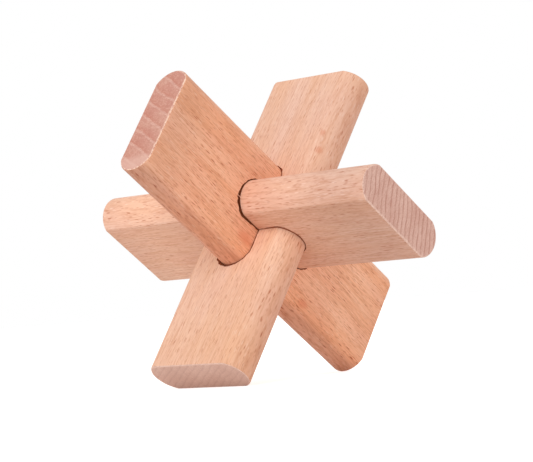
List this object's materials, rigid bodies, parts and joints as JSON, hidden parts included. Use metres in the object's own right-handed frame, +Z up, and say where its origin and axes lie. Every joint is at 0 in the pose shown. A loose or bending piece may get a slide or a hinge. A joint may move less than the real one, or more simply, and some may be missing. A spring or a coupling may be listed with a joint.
{
  "type": "wooden burr puzzle",
  "caption": "Burr puzzle of flat beech boards with rounded edges that cross at right angles, each through a slot in the next, and slide apart in the right order.",
  "frame": {"origin": "on the table, right below the point where the boards cross", "axes": "+X along the level crossbar; +Y is horizontal, away from the window board's foot and towards the sliding board's foot; +Z up from the table"},
  "size_m": [0.085, 0.0852, 0.0738],
  "materials": {
    "crossbar": "sanded bare beech, satin",
    "sliding_board": "sanded bare beech, satin",
    "window_board": "sanded bare beech, satin"
  },
  "bodies": {
    "window_board": {"window_board": "window_board"},
    "crossbar": {"crossbar": "crossbar"},
    "sliding_board": {"sliding_board": "sliding_board"}
  },
  "joints": [
    {"name": "crossbar_slide", "type": "slide", "parent": "window_board", "child": "crossbar", "axis": [0, 0.5983, 0.8013], "range_m": [0, 0.055]},
    {"name": "sliding_board_slide", "type": "slide", "parent": "window_board", "child": "sliding_board", "axis": [0, 0.8013, -0.5983], "range_m": [0, 0.016]}
  ]
}
